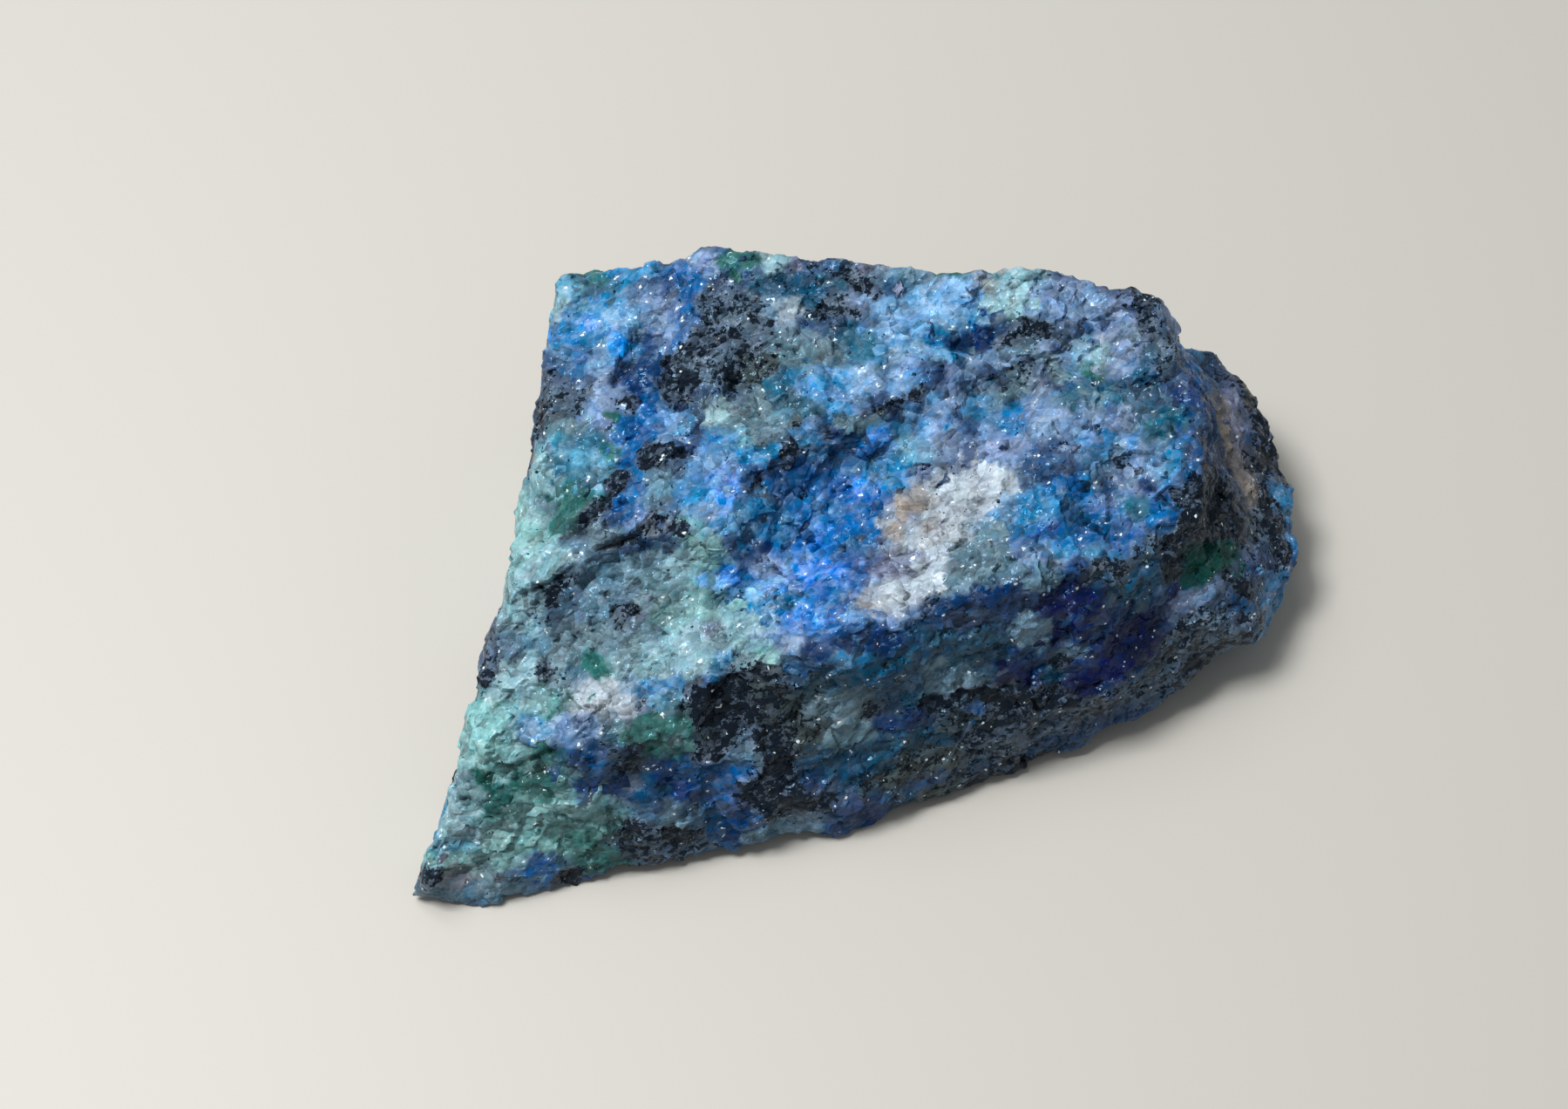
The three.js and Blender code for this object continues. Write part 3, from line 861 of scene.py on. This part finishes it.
def add_painted_glints(tree, colour, cloud, sparks):
    """Painted glints: highlights painted near white on a few of the finest crystals, where the cloud of
    noise is thick.
    """
    edge = scaled_sum(tree, 1.0, (ramp_between(tree, cloud, *PAINTED_GLINT_CLUSTERS), -PAINTED_GLINT_SHARE))
    full = math_node(tree, "ADD", edge, PAINTED_GLINT_SOFTNESS)
    painted_glints = ramp_between(tree, sparks["Glint"], edge, full)
    return mix_colour(tree, math_node(tree, "MULTIPLY", painted_glints, PAINTED_GLINT_STRENGTH), colour, PAINTED_GLINT_COLOUR)


def roughness_of(tree, sizes):
    """Dull rock with glassy crumbs."""
    glassy = ramp_between(tree, sizes["crumb"]["Hue"], *GLASSY)
    return scaled_sum(tree, DULL, (glassy, GLASSINESS), (sizes["crystal"]["Glint"], ROUGHNESS_SPREAD))


def leaning_normal(tree, sizes):
    """The surface's normal, leaning its own way on each crystal's face."""
    leans = (0, 0, 0)
    for name, (_, _, amount) in CRYSTALS.items():
        lean = vector_node(tree, "SCALE", sizes[name]["Lean"], scale=amount)
        leans = vector_node(tree, "ADD", lean, leans)
    turned = tree.nodes.new("ShaderNodeMapping")
    turned.vector_type = "VECTOR"
    turned.inputs["Rotation"].default_value = (0, 0, STRIKE_TURN)
    feed(tree, leans, turned.inputs["Vector"])
    surface = tree.nodes.new("ShaderNodeNewGeometry")
    leaning = vector_node(tree, "ADD", surface.outputs["Normal"], turned.outputs["Vector"])
    return vector_node(tree, "NORMALIZE", leaning)


def rock_material():
    material = bpy.data.materials.new("azurite rock")
    material.use_nodes = True
    tree = material.node_tree
    shader = tree.nodes["Principled BSDF"]
    place = strike_place(tree)
    sizes = grow_crystals(tree, place)
    cloud = noise_node(tree, place, *CLOUD)
    colour = add_veils(tree, vary_crystals(tree, sizes), cloud)
    colour = add_painted_glints(tree, add_flakes(tree, colour, place, sizes), cloud, sizes["spark"])
    feed(tree, colour, shader.inputs["Base Color"])
    feed(tree, roughness_of(tree, sizes), shader.inputs["Roughness"])
    feed(tree, leaning_normal(tree, sizes), shader.inputs["Normal"])
    for name, value in LIGHT.items():
        shader.inputs[name].default_value = value
    return material


# The table: half its width in metres, how far below the stone it lies, and its look
TABLE_HALF_WIDTH = 1.5
TABLE_GAP = 0.02 * MM
TABLE_COLOUR = (0.42, 0.41, 0.38, 1)
TABLE_ROUGHNESS = 0.55


def table_material():
    material = bpy.data.materials.new("pale table")
    material.use_nodes = True
    shader = material.node_tree.nodes["Principled BSDF"]
    shader.inputs["Base Color"].default_value = TABLE_COLOUR
    shader.inputs["Roughness"].default_value = TABLE_ROUGHNESS
    return material


# ---------------------------------------------------------------------------------------------
# The scene


def make_stone():
    """The whole stone: its skin broken, then painted with minerals where it lay before it broke."""
    skin = fine_skin(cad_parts[NODE])
    points = [vert.co / MM for vert in skin.verts]
    normals = [vert.normal.copy() for vert in skin.verts]
    corners = [[vert.index for vert in face.verts] for face in skin.faces]
    tree = bvhtree.BVHTree.FromPolygons(points, corners)
    given = seen_patches(tree)
    patches = given + drawn_patches(points, normals, given, random.Random(PATCH_DRAW))
    chips = Facets(points, normals, *CHIPS, random.Random(CHIP_DRAW))
    grains = Facets(points, normals, *GRAINS, random.Random(GRAIN_DRAW))
    heights, cells = break_skin(skin, points, normals, chips, grains, ledge_drops(points, tree))
    mesh = bpy.data.meshes.new("azurite_rock")
    skin.to_mesh(mesh)
    skin.free()
    mesh.shade_smooth()
    mesh.set_sharp_from_angle(angle=CREASE_ANGLE)
    paint_minerals(mesh, points, grains, cells, patches, heights)
    mesh.materials.append(rock_material())
    stone = bpy.data.objects.new("azurite_rock", mesh)
    bpy.context.scene.collection.objects.link(stone)
    return stone


def make_table():
    table = bmesh.new()
    bmesh.ops.create_grid(table, x_segments=1, y_segments=1, size=TABLE_HALF_WIDTH)
    mesh = bpy.data.meshes.new("table")
    table.to_mesh(mesh)
    table.free()
    mesh.materials.append(table_material())
    top = bpy.data.objects.new("table", mesh)
    top.location.z = -TABLE_GAP
    bpy.context.scene.collection.objects.link(top)
    return top


def aim(thing, target):
    """Turns a camera or a light so that its own -Z points at the target."""
    thing.rotation_euler = (Vector(target) - thing.location).to_track_quat("-Z", "Y").to_euler()


def make_camera():
    camera = bpy.data.objects.new("camera", bpy.data.cameras.new("camera"))
    camera.data.lens = CAMERA_LENS
    camera.data.sensor_width = SENSOR_WIDTH
    camera.data.clip_start = NEAR_CLIP
    camera.location = AIM + CAMERA_DISTANCE * VIEW_AXES[2]
    aim(camera, AIM)
    bpy.context.scene.collection.objects.link(camera)
    bpy.context.scene.camera = camera


# Softboxes, by name, place in metres, width in metres, watts and colour, and the light of the room
LIGHTS = (
    ("window", (-0.28, 0.0, 0.60), 0.20, 4.2, (1.0, 0.985, 0.96)),
    ("lamp", (-0.18, 0.09, 0.48), 0.30, 1.3, (1.0, 0.99, 0.965)),
)
SKY = (0.88, 0.92, 0.95)
SKY_STRENGTH = 0.38


def make_lights():
    for name, place, width, watts, colour in LIGHTS:
        light = bpy.data.objects.new(name, bpy.data.lights.new(name, "AREA"))
        light.data.size = width
        light.data.energy = watts
        light.data.color = colour
        light.location = place
        aim(light, (0, 0, 0))
        bpy.context.scene.collection.objects.link(light)
    world = bpy.data.worlds.new("room")
    world.use_nodes = True
    background = world.node_tree.nodes["Background"]
    background.inputs["Color"].default_value = (*SKY, 1)
    background.inputs["Strength"].default_value = SKY_STRENGTH
    bpy.context.scene.world = world
    bpy.context.scene.view_settings.view_transform = "Standard"


make_camera()
make_lights()
make_table()
stone = make_stone()
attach(stone, "root")
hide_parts(NODE)
